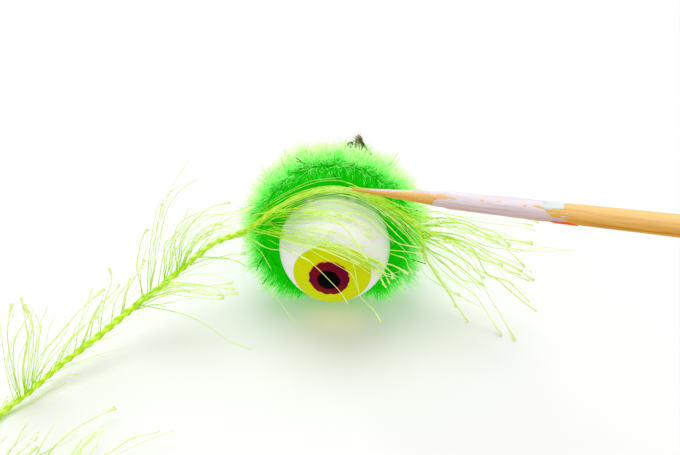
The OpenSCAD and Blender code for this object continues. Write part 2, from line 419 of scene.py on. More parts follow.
def half_shell(name, pole, stands_for):
    """One half of the hollow ball, with a rounded edge at the seam."""
    wall, edge, turns = 0.9, 0.12, 160
    outside = np.linspace(0.004, math.pi / 2 - edge / EYE_R, 70)
    roll = np.linspace(0, math.pi / 2, 5)[1:]
    tilts = [outside, outside[-1] + np.sin(roll) * edge / EYE_R,
             np.full(3, outside[-1] + edge / EYE_R), np.linspace(math.pi / 2, 0.004, 40)]
    radii = [np.full(70, EYE_R), EYE_R - edge * (1 - np.cos(roll)),
             np.linspace(EYE_R - edge, EYE_R - wall, 4)[1:], np.full(40, EYE_R - wall)]
    tilts, radii = np.concatenate(tilts), np.concatenate(radii)
    grid = dome_grid(pole, tilts[:, None], radii[:, None], turns)
    mesh = mesh_of(name, grid.reshape(-1, 3), ring_faces(len(tilts), turns))
    return piece(name, mesh, "head", [BALL_WHITE], stands_for)


def ragged(size, jag, seed, waves=26):
    """A hand-painted outline: a circle of radius size with waves and small jags."""
    rng = np.random.default_rng(seed)
    a = circle(240)
    edge = np.full(len(a), float(size))
    for k in range(2, waves):
        edge += jag * rng.normal() / k ** 0.6 * np.cos(k * a + rng.uniform(0, 2 * math.pi))
    return edge


def paint_film(name, way, outline, base, thickness, seed, material, stands_for=(), rise=0.0):
    """A closed film of brushed paint on the ball, with a soft rim and brush marks.

    outline is its radius all round, base is its height off the ball and rise moves it up."""
    turns, rows = len(outline), 36
    rng = np.random.default_rng(seed)
    pole = unit(way * EYE_R + rise * pole_frame(way)[1])
    share = np.concatenate([np.linspace(0.01, 0.94, rows), [0.965, 0.985, 0.996, 1.0]])
    lift = np.concatenate([np.ones(rows), [0.95, 0.75, 0.4, 0.0]])
    tilts = share[:, None] * np.arcsin(outline / EYE_R)
    a = circle(turns)
    x, y = tilts * np.cos(a) * EYE_R, tilts * np.sin(a) * EYE_R
    marks = np.zeros_like(x)
    for _ in range(14):
        lean = rng.uniform(-0.5, 0.5)
        wave = rng.uniform(2.5, 9)
        marks += rng.normal() * np.sin(wave * (x * math.sin(lean) + y * math.cos(lean))
                                       + rng.uniform(0, 6.3) + 0.6 * np.sin(x))
    height = thickness * lift[:, None] * (1 + 0.05 * marks)
    top = dome_grid(pole, tilts, EYE_R + base + height, turns)
    under = dome_grid(pole, tilts[[-1, 0]], np.full((2, turns), EYE_R + base - 0.004), turns)
    grid = np.concatenate([top, under])
    mesh = mesh_of(name, grid.reshape(-1, 3), ring_faces(len(grid), turns))
    return piece(name, mesh, "head", [material], stands_for)


half_shell("ball_front_half", np.array([0.0, -1.0, 0.0]), ["eye_front_shell"])
half_shell("ball_back_half", np.array([0.0, 1.0, 0.0]), ["eye_back_shell"])
paint_film("iris_film", IRIS_WAY, ragged(IRIS_R, 0.05, 3, 9), 0.01, 0.1, 4,
           IRIS_PAINT, ["iris_disc"])
paint_film("halo_film", GAZE, ragged(RING_R + 0.08, 0.07, 5), 0.1, 0.05, 6,
           HALO_PAINT, rise=0.14)
paint_film("maroon_film", GAZE, ragged(RING_R, 0.09, 7), 0.13, 0.1, 8,
           RING_PAINT, ["iris_ring"])
paint_film("pupil_film", GAZE, ragged(PUPIL_R, 0.07, 9, 14), 0.2, 0.1, 10,
           PUPIL_PAINT, ["pupil_dot"])


# ---- mane: one chenille stem wound into a nest ----

TURNS = [turn_of(f"{name}_turn_wires") for name in ("front", "middle", "back")]
CUT_SPOT = head_frame(middle("wire_cut_end"))
CUT_TOP = head_frame(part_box("wire_cut_end")[1])[2]
BLEND_TURN = 50.0
START_TURN = -70.0
STEM_TURNS = 3 * 360 - 290
STEM_STEP = 0.25
BARE_END = 3.4
PILE_R = 4.6
PILE_PITCH = 5.0
TUFT_W = 1.5
TUFT_RISE = 0.07
TUFT_PULL = 0.5


def stem_route():
    """The stem's wires: the front turn, the middle turn, the back turn, then out and up."""
    points = []
    for angle in np.arange(START_TURN, START_TURN + STEM_TURNS + 1, 4.0):
        done = (angle - START_TURN) / 360
        ring = min(int(done), 2)
        mix = 0.0
        if ring > 0:
            mix = 1 - min((done - ring) * 360 / BLEND_TURN, 1)
            mix = mix * mix * (3 - 2 * mix)
        here, before = TURNS[ring], TURNS[max(ring - 1, 0)]
        r = here[0] + mix * (before[0] - here[0])
        spot = here[1] + mix * (before[1] - here[1])
        across, up = r * math.cos(math.radians(angle)), r * math.sin(math.radians(angle))
        points.append([across, spot[1] + up * math.sin(here[2]), spot[2] + up * math.cos(here[2])])
    end = [[5.1, 15.9, 21.5], [5.3, 16.2, 25.5], [5.4, 14.8, 29.0],
           [CUT_SPOT[0], CUT_SPOT[1] + 0.7, 32.0], [CUT_SPOT[0], CUT_SPOT[1], CUT_TOP - 2.2]]
    route = smooth(points + end, 3)
    return spaced(route, int(run_length(route) / STEM_STEP))


STEM = stem_route()


def stem_frames():
    ahead = unit(np.gradient(STEM, axis=0))
    side = unit(np.cross(ahead, [0.05, 1.0, 0.02]))
    return ahead, side, np.cross(ahead, side)


def radiating(count, seed, reach, jitter, tilt):
    """Fibres about square to the stem: where each starts, its direction, length and angle."""
    rng = np.random.default_rng(seed)
    ahead, side, rise = stem_frames()
    bare = int(BARE_END / STEM_STEP)
    at = rng.integers(0, len(STEM) - bare, count)
    twist = at * STEM_STEP / PILE_PITCH * 2 * math.pi
    row = rng.integers(0, 2, count) * math.pi
    angle = twist + row + rng.normal(0, 0.75, count)
    way = swung(side[at], rise[at], angle)
    way = unit(way + rng.normal(0, tilt, count)[:, None] * ahead[at])
    length = reach + rng.normal(0, jitter, count)
    worn = np.clip((len(STEM) - bare - at) * STEM_STEP / 6.0, 0.45, 1)
    under_ball = (STEM[at, 2] < 8) & (STEM[at, 1] < 6)
    pressed = np.where(under_ball, np.clip(np.abs(STEM[at, 0]) / 5.0 - 0.75, 0.3, 1), 1)
    return at, way, length * worn * pressed, angle, rng


def tufted(at, angle, way, length):
    """Tips drawn together into small tufts, each a bit longer or shorter than the next."""
    around = 14
    along_stem = 1 + int(len(STEM) * STEM_STEP / TUFT_W)
    pull = np.random.default_rng(20).normal(size=(along_stem, around, 4))
    row = (at * STEM_STEP / TUFT_W).astype(int)
    column = np.floor(angle / (2 * math.pi) * around).astype(int) % around
    mine = pull[row, column]
    tips = way * (length * (1 + TUFT_RISE * mine[:, 3]))[:, None]
    return tips + TUFT_PULL * mine[:, :3] * (length / PILE_R)[:, None]


def pile(name, count, seed, stands_for):
    """A share of the stem's pile: fine fibres that splay on the table and round the ball.

    Painted light and shade: fibres that point out of the nest or up are painted pale, as if lit, those
    that point in are painted deep green, as if shaded, and all but the deepest get paler towards their
    tips."""
    at, way, length, angle, rng = radiating(count, seed, PILE_R, 0.3, 0.2)
    t = np.array([0.0, 0.35, 0.7, 1.0])
    tips = tufted(at, angle, way, length)
    bend = rng.normal(0, 0.3, (count, 3))
    lines = STEM[at][:, None] + tips[:, None] * t[:, None] + bend[:, None] * (t ** 2)[:, None]
    lines = keep_clear(lines, 0.05, 0.05)
    wide = np.array([0.045, 0.045, 0.04, 0.022])
    outward = unit((STEM[at] - EYE) * np.array([1, 0.35, 1]))
    # lit scores how far a fibre faces out of the nest and up; it picks each stretch's painted shade or
    # light
    lit = (way * outward).sum(1) + 0.25 * way[:, 2] + rng.normal(0, 0.22, count)
    level = np.select([lit < -0.05, lit < 0.4, lit < 0.75], [-2, -1, 0], 1)
    shades = np.clip(level[:, None] + np.array([0, 1, 2]), 0, 3)
    return tubes(name, lines, wide, wide, rng.normal(size=(count, 3)), 3, PILE_LIT_AND_SHADED,
                 stands_for, shades)


def tinsel(count, seed):
    """Short dark strips of foil that stand among the pile."""
    at, way, length, _, rng = radiating(count, seed, PILE_R + 0.1, 0.5, 0.3)
    t = np.linspace(0.45, 1.0, 5)
    bend = rng.normal(0, 0.8, (count, 3))
    tips = way * length[:, None]
    lines = (STEM[at][:, None] + tips[:, None] * t[:, None]
             + bend[:, None] * ((t - 0.4) ** 2)[:, None])
    lines = keep_clear(lines, 0.1, 0.1)
    return tubes("tinsel", lines, 0.11, 0.02, rng.normal(size=(count, 3)), 4, [TINSEL_DARK])


def stem_wires():
    """The stem's twisted pair of wires, which ends cut above the mane."""
    side, rise = stem_frames()[1:]
    twist = 2.4
    run = np.arange(len(STEM)) * STEM_STEP
    lines = []
    for start in (0, math.pi):
        lines.append(STEM + 0.3 * swung(side, rise, start + 2 * math.pi * run / twist))
    return tubes("stem_wires", np.stack(lines), 0.26, 0.26, np.array([[0.1, 1, 0.3]] * 2), 8,
                 [WIRE_METAL],
                 ["front_turn_wires", "middle_turn_wires", "back_turn_wires", "wire_cut_end"])


def cut_tuft():
    """Frayed, soiled fibres round the wires' cut end, a share of them darker."""
    rng = np.random.default_rng(30)
    count = 220
    base = np.array([CUT_SPOT[0] - 0.6, CUT_SPOT[1] - 0.5, CUT_TOP - 2.5])
    lean = rng.uniform(-1, 1, count)
    roots = base + np.stack([0.9 * lean + 0.4, rng.normal(0, 0.35, count),
                             rng.uniform(-0.2, 0.6, count)], 1)
    way = unit(np.stack([-0.5 * lean - 0.25 + rng.normal(0, 0.12, count),
                         rng.normal(0, 0.2, count), np.ones(count)], 1))
    length = rng.uniform(1.6, 3.4, count) * (1 - 0.45 * np.abs(lean + 0.1))
    lines = grow(roots, way, length, np.zeros(3), rng.normal(0, 0.12, (count, 3)), 5)
    wide = 0.1 * np.array([1, 1, 1, 0.9, 0.75, 0.45])
    dark = (lean < -0.55) | (rng.random(count) < 0.25)
    return tubes("cut_end_tuft", lines, wide, wide, rng.normal(size=(count, 3)), 3,
                 [TUFT_OLIVE, TUFT_SAND], (), np.where(dark, 0, 1)[:, None])


def cut_curl():
    """The wire's bent tip, beside the tuft, and dark threads down its other side."""
    spot = np.array([CUT_SPOT[0] - 0.8, CUT_SPOT[1] - 1.0, CUT_TOP - 0.9])
    hook = spot + np.array([[0, 0, -1.5], [-0.5, 0, -0.6], [-1.3, 0, 0.1], [-1.9, 0, -0.3],
                            [-1.7, 0, -0.9], [-1.1, 0, -0.8]])
    fleck = spot + np.array([[0.3, -0.2, 1.2], [0.9, -0.4, 0.2], [1.4, -0.6, -0.5],
                             [1.9, -0.7, -1.2], [2.4, -0.8, -1.8], [2.7, -0.8, -2.5]])
    lines = np.stack([spaced(smooth(hook, 6), 24), spaced(smooth(fleck, 6), 24)])
    wide = np.stack([np.full(24, 0.3), 0.16 + 0.09 * np.sin(np.arange(24) * 1.3)])
    return tubes("cut_end_curl", lines, wide, wide, np.array([[0.1, 1, 0.3]] * 2), 7,
                 [WIRE_STAIN])


STANDS_FOR = [["mane_front_turn"], ["mane_middle_turn"], ["mane_back_turn"], [], []]
for layer, nodes in enumerate(STANDS_FOR):
    pile(f"pile_layer_{layer + 1}", 9500, 21 + layer, nodes)
tinsel(190, 29)
stem_wires()
cut_tuft()
cut_curl()


# ---- eyelash yarn ----

LASH_STEPS = 18


def carried_frame(line):
    """A line's headings and two directions square to them, carried along without twisting."""
    ahead = unit(np.gradient(line, axis=0))
    side = np.cross(ahead[0], [0, 0, 1.0])
    sides = []
    for step in ahead:
        side = unit(side - step * np.dot(side, step))
        sides.append(side)
    return ahead, np.array(sides), np.cross(ahead, sides)


def chained_core(name, route, seed, stands_for, thick=1.0):
    """The yarn's core: a tube whose surface is a chain of V-shaped stitches."""
    step, sides, stitch = 0.2, 16, 2.3
    line = spaced(route, int(run_length(route) / step))
    side, rise = carried_frame(line)[1:]
    rng = np.random.default_rng(seed)
    run = np.arange(len(line))[:, None] * step
    a = circle(sides)
    fold = np.abs(np.sin(a))
    wave = 0.5 + 0.5 * np.cos(2 * math.pi * (run / stitch - 0.5 * fold))
    swell = thick * (0.9 + 0.1 * np.sin(run / 7 - 2.8))
    r = 0.5 + 0.25 * wave * (0.45 + 0.55 * fold ** 0.7) + rng.normal(0, 0.015, wave.shape)
    out = swung(side[:, None], rise[:, None], a)
    rings = line[:, None] + (swell * r)[..., None] * out
    shades = np.concatenate([(wave[:-1].ravel() < 0.5).astype(int), [0, 0]])
    mesh = mesh_of(name, rings.reshape(-1, 3), ring_faces(len(line), sides), shades)
    made = piece(name, mesh, "head", CORE_SHADES, stands_for)
    return made, line


def lash_mesh(name, lines, seed, flared=0.5, half_width=(0.08, 0.15)):
    """Eyelash filaments: flat strips that end in a flattened, frayed tip."""
    rng = np.random.default_rng(seed)
    count, steps = lines.shape[:2]
    t = np.linspace(0, 1, steps)
    body = rng.uniform(*half_width, count)[:, None] * (1.05 - 0.25 * t)
    flare = (rng.random(count) < flared)[:, None] * rng.uniform(0.12, 0.32, count)[:, None]
    wide = body + flare * np.clip((t - 0.86) / 0.14, 0, 1) ** 1.5
    thick = np.minimum(body * 0.6, 0.05)
    side = unit(rng.normal(size=(count, 1, 3)) + 0.6 * t[:, None] * rng.normal(size=(count, 1, 3)))
    shades = np.select([t[1:] < 0.3, t[1:] < 0.8], [0, 1], 2)
    return tubes(name, lines, wide, thick, side, 4, LASH_SHADES, (), shades)


def wavy(lines, rng, size):
    """Adds a small slow wave to each line, none at its root."""
    count, steps = lines.shape[:2]
    t = np.linspace(0, 1, steps)
    for _ in range(2):
        way = rng.normal(0, size, (count, 1, 3))
        cycles = rng.uniform(0.8, 2.6, (count, 1))
        start = rng.uniform(0, 2 * math.pi, (count, 1))
        swing = (np.sin(2 * math.pi * cycles * t + start) - np.sin(start)) * t ** 0.6
        lines = lines + way * swing[..., None]
    return lines


def laid_out(guides):
    """Each guide as a smooth line of even steps."""
    return np.stack([spaced(smooth(guide, 8), LASH_STEPS) for guide in guides])


def comb(guides, count, seed, spread, first, last):
    """Filaments combed between neighbouring guides, each a bit off and of its own length."""
    rng = np.random.default_rng(seed)
    laid = laid_out(guides)
    spot = rng.uniform(0, len(guides) - 1, count)
    low = np.minimum(spot.astype(int), len(guides) - 2)
    mix = (spot - low)[:, None, None]
    lines = laid[low] * (1 - mix) + laid[low + 1] * mix
    t = np.linspace(0, 1, LASH_STEPS)
    drift = rng.normal(0, spread, (count, 1, 3)) * (0.25 + t[:, None] ** 1.3)
    bow = rng.normal(0, spread, (count, 1, 3)) * np.sin(math.pi * t)[:, None]
    lines = lines + drift + bow
    begin = rng.uniform(0, first, count) if first else np.zeros(count)
    end = rng.uniform(last, 1, count)
    lines = along(lines, begin[:, None] + (end - begin)[:, None] * t)
    return keep_clear(wavy(lines, rng, spread * 0.18))


def strands(guides, seed):
    """One filament along each guide."""
    return keep_clear(wavy(laid_out(guides), np.random.default_rng(seed), 0.05))


# Guides of the fringe that hangs over the ball, from the top one down. The last one is the
# bundle that crosses the yellow disc.
BALL_GUIDES = [
    [[-13.4, -1.7, 27], [-9, -1.2, 28.2], [-4.5, -1.5, 29.2], [-0.5, -1.5, 29.4], [3, -2, 28.6],
     [7, -3, 26.5], [10, -3.4, 22.4]],
    [[-13.8, -1.8, 25.6], [-9.5, -1.3, 25.8], [-3.5, -3, 28], [2.5, -3.5, 28], [6, -3.5, 26.5],
     [8.5, -4.1, 24.1], [10.9, -3.6, 20.6]],
    [[-14.8, -2, 24.8], [-8, -3, 25.5], [-2.5, -5.5, 27.5], [0.5, -6, 27.5], [3.5, -7, 26],
     [5.5, -8, 23.5], [9, -6.2, 21.7], [12.9, -4.1, 19]],
    [[-15.8, -2, 23.8], [-11.4, -2.8, 23.6], [-6.5, -6, 25], [-2.5, -7.5, 25.5], [2.5, -9, 24],
     [7, -8.5, 20.5], [12.9, -5, 15]],
    [[-16.8, -1.5, 22.8], [-11.4, -2.8, 22.5], [-6.4, -7.6, 24.6], [-3.2, -9, 25.1], [-0.2, -9.8, 24.8],
     [2.7, -10.3, 23.5], [5.2, -10.2, 21.9], [7.5, -9.4, 19.4], [10, -7, 14.5]],
]
# Single filaments over the ball, and round it towards the right
BALL_STRANDS = [
    [[-12.9, -2.1, 20.9], [-7, -8, 22], [-5, -9.5, 22.3], [-3.5, -10.5, 21.3], [-1, -11.5, 19],
     [0.7, -11.5, 16.5], [2.4, -11.5, 12.7]],
    [[-6, -6, 26.5], [-0.5, -7.5, 26], [2, -9, 24.7], [3.5, -10.3, 22], [4.2, -11, 18], [5.3, -10, 13],
     [7.8, -9.5, 8.6], [9.3, -9.8, 5.7]],
    [[-10, -3.4, 21.4], [-8, -7, 22.5], [-5.5, -8.5, 24.3], [-2.5, -7.8, 26], [-0.5, -6.5, 27]],
    [[-8, -5, 25], [-4, -9, 24], [0, -10.5, 22.3], [3.2, -11, 20], [4.3, -11.2, 17]],
    [[-11.9, -2.9, 24.7], [-4, -7.5, 26], [3, -9.5, 22.5], [8, -9, 17.5], [12.8, -5, 15]],
    [[-16, -1.5, 26.5], [-12, -2.5, 28], [-8.5, -1.5, 28], [-4, -3, 29], [2, -3.5, 29], [5.5, -3.5, 28],
     [8, -4.5, 26], [12, -3.8, 21.5], [17, -3, 19.5]],
    [[-10, -5, 24], [-5, -8.5, 25.5], [-0.5, -9.5, 25.5], [3, -9.5, 25], [8, -9, 21.5], [11.5, -6, 17.5],
     [14.5, -4.5, 14]],
    [[-4, -8.5, 26], [2, -9.5, 26], [5.5, -9, 25], [12, -5, 20.5], [17.5, -2.5, 17.5]],
    [[-7, -2, 27.8], [-3, -4, 28.8], [-0.5, -5, 28.5], [2.5, -7, 27], [4.5, -9, 25], [6.5, -10, 22]],
    [[-20, -0.5, 20.5], [-17, -2, 21.5], [-13.5, -4, 20.5], [-10, -6.5, 22], [-7.5, -8.5, 23],
     [-4.5, -10, 22.5]],
]
# Filaments with broad flat tips that gather at the ball's lower right
TIP_STRANDS = [
    [[4, -10, 23], [6.5, -10.5, 21], [9, -6.5, 15], [10.5, -5.5, 11.5], [11, -5.5, 10]],
    [[5, -10, 23], [7.5, -10, 21], [10.5, -6, 14.5], [12, -5, 12]],
    [[4.5, -10.5, 22.5], [7, -10.5, 20.5], [8.8, -6.8, 14], [10, -6, 11.5]],
    [[6, -9.5, 22.5], [9, -7.5, 18.5], [11.3, -5.5, 13.5], [11.8, -5.2, 10.8]],
    [[10.5, -4.5, 19.5], [13.5, -4.2, 18], [14.5, -4.2, 16], [15.5, -4.2, 14]],
    [[-19, -0.5, 22], [-15, -3, 19.5], [-13.5, -4, 17.5], [-12.5, -4.6, 15.5]],
]
# The band of filaments that runs with the brow, over the skewer's point and down the right
BAND_GUIDES = [
    [[-19.7, 0, 19.8], [-15.6, -0.3, 24.9], [-11.4, 0.2, 28], [-7, 1, 30.2], [-2, 1, 31.8], [3, 1, 31.5],
     [7.5, 0.5, 29.5], [11.9, -0.9, 26.7], [15.8, -1, 22.8], [18.3, -1, 17.8]],
    [[-19.7, -1, 19.8], [-15.3, -1.2, 24.1], [-11.4, -0.8, 26.8], [-7, 0, 29.4], [-2, 0, 31.2],
     [3, 0, 30.8], [7.5, -0.5, 28.4], [11.4, -1.3, 25.6], [15.3, -1.5, 21.7], [17.8, -1, 17.1]],
    [[-17.8, -2, 20.8], [-13.8, -1.8, 23.9], [-10, -0.9, 26.6], [-6, -0.8, 28.8], [-1, -0.8, 30.2],
     [4, -1, 29.4], [8, -1.5, 27.2], [10.9, -2.5, 24.5], [13.9, -2.3, 20.6], [16.3, -1.5, 16.3]],
]
# Filaments that leave the band at the top and fan out to the right under the skewer
FAN_GUIDES = [
    [[1.5, -1, 32.3], [7, -1, 29.6], [14, -1, 27.8], [22, -3, 27.7], [30, -6, 29], [36, -8, 29.6]],
    [[4, -1, 32.5], [9.5, -1, 30], [15.5, -1, 27], [23, -3.5, 25], [29.5, -5.5, 24], [34.5, -7.5, 24.5],
     [42.5, -10.5, 25.5]],
    [[5, -1, 32], [10.5, -1, 29.5], [17.5, -1.5, 24.5], [24, -4, 22], [31.5, -6.5, 20.5], [36, -8, 19]],
    [[2.5, -1, 32.5], [9, -1, 29.5], [15, -1, 25.5], [20.5, -2.5, 22], [27.5, -5, 20], [34, -7.5, 17],
     [37.5, -8.5, 16]],
    [[5.5, -1, 31.5], [10.5, -1, 28], [15, -1, 23.5], [19.5, -2.5, 20], [24.5, -4, 16],
     [29, -5.5, 10.5]],
    [[6.5, -1, 31], [11.5, -1, 26], [15, -1, 21.5], [18.5, -2, 16.5], [23, -3.5, 12], [28.5, -5.5, 8.5],
     [33.5, -7.5, 0.5]],
    [[2.5, -1, 32], [8, -1, 28.5], [12.5, -1, 24], [16, -1, 19.5], [19.5, -2.5, 14.5], [24.5, -4, 5.5]],
]
# The spray at the brow's cut end, from the top one down
SPRAY_GUIDES = [
    [[13.9, 0.2, 25.1], [18.8, -0.5, 26.6], [22.9, -1.8, 26.4], [28, -3.5, 26.2], [31.5, -5, 27],
     [37, -7.5, 27.6]],
    [[14.8, 0, 24.8], [19.3, -1, 25.3], [23.9, -2, 23.9], [28, -3.5, 24], [31.5, -5, 24]],
    [[15.8, 0, 23.3], [21.3, -1.1, 24.4], [25.5, -2.1, 23.6], [28, -3.5, 22], [31.5, -5, 22],
     [33.5, -6, 21], [36.5, -7.5, 18.5]],
    [[16.3, 0, 22.3], [23.9, -2, 23.9], [29.5, -4, 22.5], [32, -5.5, 22.5], [34.5, -6.5, 22],
     [38, -8, 23], [43.5, -10.5, 25.5]],
    [[17, -0.3, 21.3], [21.3, -1.6, 21.5], [26.5, -2.5, 20], [30.5, -4.5, 18.5], [34, -6, 17.5],
     [38.5, -8, 15.5]],
    [[17, -0.3, 20.3], [20.3, -1.4, 21.2], [26.5, -2.5, 19.5], [30, -4.5, 14], [34, -6, 13.5],
     [38.5, -8.5, 10]],
    [[17.2, -0.2, 19.8], [18.8, -0.5, 21.3], [22.9, -1.7, 19.2], [26, -2.5, 15], [27, -3, 13]],
    [[17.2, -0.2, 19.3], [23.9, -2, 16.9], [28.5, -3.5, 14], [31.5, -5, 13.5], [34.5, -6.5, 11.5],
     [40, -9, 8]],
    [[17.3, -0.1, 19.3], [20.3, -1.4, 21.2], [24.4, -2.4, 18.8], [27.5, -3, 16], [29, -4, 12.5],
     [30.5, -4.5, 9], [33.5, -6, 4.5], [36.5, -10, 0.5]],
    [[17.4, 0, 18.3], [24.4, -2.4, 11.8], [28, -3.5, 8], [30.5, -4.5, 4.5], [34, -8.5, 0.5]],
    [[17.4, 0, 17.8], [18.8, -0.5, 16.8], [23.4, -1.6, 14.6], [26.5, -2.5, 12.5], [29.5, -4, 10.5]],
    [[17.4, 0, 17.3], [19.8, -1, 11.4], [22.3, -1.8, 8.3], [26, -2.5, 5.5], [30, -4.5, 4.5]],
    [[17.4, 0, 17.3], [18.3, 0, 13.8], [21.3, -1.6, 10], [23.4, -2.1, 6.1], [25.5, -2.1, 2.1]],
]
# One long filament that droops from the tail in front of the mane
DROOP = [[[-28, -1, 15], [-25.4, -3, 17.1], [-18.5, -5, 17.6], [-13, -7, 12.5],
          [-9.5, -8, 6.5], [-7.1, -8, 1.6]]]
# Clusters of filaments on the tail near the mane: straight up, arched over to it, and under it
TAIL_UP = [
    [[-36.5, -7, 10.5], [-34.5, -7.5, 21.5], [-31, -8, 31.5], [-28, -8, 38.5], [-24, -8.5, 45]],
    [[-36.5, -7, 10.5], [-32.5, -7.5, 24.5], [-30, -8, 32.5], [-27, -8.5, 37.5], [-23.5, -9, 40.5]],
    [[-38, -8, 10], [-36.5, -8.5, 19], [-33.5, -8.5, 26.5], [-30.5, -8.5, 33]],
    [[-35, -6, 11.5], [-32, -6.5, 22], [-28.5, -7, 27.5], [-26, -7.5, 33]],
    [[-33.5, -5, 12], [-30.5, -5.5, 22], [-28, -6.5, 27.5], [-25, -7, 31]],
]
TAIL_ARCH = [
    [[-32.5, -4, 12.5], [-30.5, -4.5, 22], [-27, -4.5, 27], [-23.5, -4.5, 29], [-18.5, -4.5, 29.5]],
    [[-31, -3, 13.5], [-28.5, -2.5, 22], [-24, -2, 26], [-18, -1.5, 27.5], [-15, -1, 28]],
    [[-30, -2, 14], [-27, -1.5, 21], [-22.5, -1, 24], [-17.5, -0.8, 25]],
    [[-31.5, -3.5, 13], [-29, -3, 19.5], [-23.5, -2.5, 23.5], [-18.5, -2, 25]],
    [[-27.5, -1, 15.5], [-24.5, -1.5, 20], [-20, -2, 22.5], [-16.5, -2, 24]],
]
TAIL_UNDER = [
    [[-40, -9.5, 9], [-35.5, -9.5, 13], [-31, -9.5, 15.5], [-26.5, -9.5, 16], [-22.5, -9.5, 14.5],
     [-21.5, -9.5, 12]],
    [[-39.5, -9, 9.5], [-34.5, -9.5, 13.5], [-29, -9.5, 15.5], [-24, -10, 14.5], [-22, -10, 13.5]],
    [[-37.5, -8, 10], [-33, -8, 13], [-28.5, -8.5, 13], [-23, -9, 12.5], [-18.5, -9.5, 13.5]],
    [[-36.5, -7, 10.5], [-31, -7.5, 14.5], [-27.5, -8, 17], [-22.5, -8.5, 17.5], [-19, -9, 16]],
]
# Long single filaments: one that droops to the table, and three that stand over the tail
TAIL_LONG = [
    [[-39, -8.5, 9.5], [-33.5, -9, 8.5], [-29.5, -9.5, 7.5], [-25.5, -9.5, 4.5], [-21.5, -10, 0.5],
     [-17, -12, 0.5]],
    [[-57.5, -24.5, 2], [-53.5, -26, 9], [-49.5, -26, 14.5], [-46, -24.5, 17.5], [-42, -22.5, 20.5],
     [-37.5, -20, 24], [-32.5, -17, 28]],
    [[-58, -25, 2], [-54, -26.5, 10], [-51.5, -26.5, 15], [-48.5, -25, 18], [-44.5, -23, 22],
     [-39.5, -21, 26]],
    [[-54.5, -22, 3.5], [-51, -23.5, 9.5], [-48, -23.5, 12.5], [-45, -22, 14.5], [-41.5, -20, 16.5],
     [-38.5, -18, 19], [-35, -16, 20.5]],
]
# Clusters on the tail's middle and on its low end
TAIL_MIDDLE = [
    [[-53.5, -20.5, 3.5], [-50, -20.5, 10.5], [-45.5, -20, 15.5], [-42, -20, 18.5]],
    [[-51.5, -18.5, 4.5], [-48, -19, 12.5], [-44.5, -19.5, 18.5], [-42, -20, 24.5]],
    [[-50, -17.5, 5], [-47.5, -17, 12.5], [-45, -16.5, 18], [-43.5, -16, 21.5]],
    [[-48.5, -16, 5.5], [-45, -16.5, 13.5], [-41, -17, 18], [-39, -17, 21]],
    [[-45.5, -14, 6.5], [-43.5, -13.5, 14.5], [-41, -13, 20], [-41, -12.5, 23]],
    [[-43.5, -12.5, 7.5], [-42, -11.5, 13], [-38, -11, 19]],
    [[-41.5, -10.5, 8.5], [-39.5, -10, 15], [-37, -9.5, 19], [-35.5, -8.5, 21.5]],
]
TAIL_LOW = [
    [[-59.5, -26.5, 1.5], [-59, -26, 9.5], [-58, -25.5, 16.5], [-57, -25, 23]],
    [[-59, -25.5, 2], [-58, -25, 11], [-57, -24.5, 18.5], [-54.5, -24, 25.5]],
    [[-58.5, -25.5, 2], [-57, -25, 11], [-53.5, -25, 17.5], [-49.5, -24.5, 23]],
    [[-58, -25, 2], [-56, -24.5, 10.5], [-54, -24, 16.5], [-53, -23, 26]],
    [[-58, -25, 2], [-54, -25.5, 13], [-51.5, -26, 20.5], [-51, -27, 28]],
    [[-57, -24, 2], [-54, -24, 12], [-51.5, -24, 19], [-49, -23.5, 24]],
    [[-56, -23, 2.5], [-52.5, -23, 10], [-48.5, -23, 15.5], [-46, -23, 20]],
]
# Filaments of the coil, low over the table
COIL_GUIDES = [
    [[-53, -39.5, 0.8], [-51, -35, 3], [-49.5, -29.5, 3]],
    [[-51, -40, 0.8], [-49, -37, 3], [-45.5, -33, 3.5], [-40, -28.5, 3]],
    [[-47.5, -43, 0.8], [-45, -38.5, 3], [-41, -33.5, 3]],
    [[-46, -44, 0.8], [-42, -38.5, 3], [-41, -31, 3]],
    [[-45.5, -46, 0.8], [-40, -41, 3.5], [-34, -36.5, 3.5], [-28.5, -33.5, 3]],
]


def tail_fringe(name, line, first, last, count, seed, long, lean):
    """The fringe of a stretch of the yarn: filaments round it, combed to the head."""
    rng = np.random.default_rng(seed)
    ahead, side, rise = carried_frame(line)
    at = (rng.uniform(first, last, count) * (len(line) - 1)).astype(int)
    around = rng.normal(1.7, 1.1, count)
    lean = np.radians(rng.uniform(*lean, count))
    out = swung(side[at], rise[at], around)
    way = swung(-ahead[at], unit(out), lean)
    length = rng.uniform(0.45, 1.0, count) * long
    sway = rng.normal(0, 0.022, (count, 3)) + out * 0.012
    lines = grow(line[at] + unit(out) * 0.5, way, length, np.array([0, 0, -0.012]), sway)
    lines = wavy(lines, rng, 0.12).clip([-1e3, -1e3, 0.12])
    return lash_mesh(name, lines, seed + 1, 0.5, (0.07, 0.12))


def cluster(name, guides, count, seed, spread=0.8, first=0.0, last=0.6, flared=0.35,
            half_width=(0.08, 0.12)):
    """A cluster of filaments: one on each guide, and more combed between them."""
    combed = comb(guides, count, seed + 1, spread, first, last)
    lines = np.concatenate([strands(guides, seed), combed])
    return lash_mesh(name, lines, seed + 2, flared, half_width)


TAIL_LINE = smooth(TAIL_ROUTE + coil_route(), 4)
tail_core, tail_path = chained_core("yarn_tail_core", TAIL_LINE, 31, ["yarn_tail", "yarn_coil"])
chained_core("yarn_brow_core", smooth(BROW_ROUTE, 6), 32, ["yarn_brow"], thick=0.78)

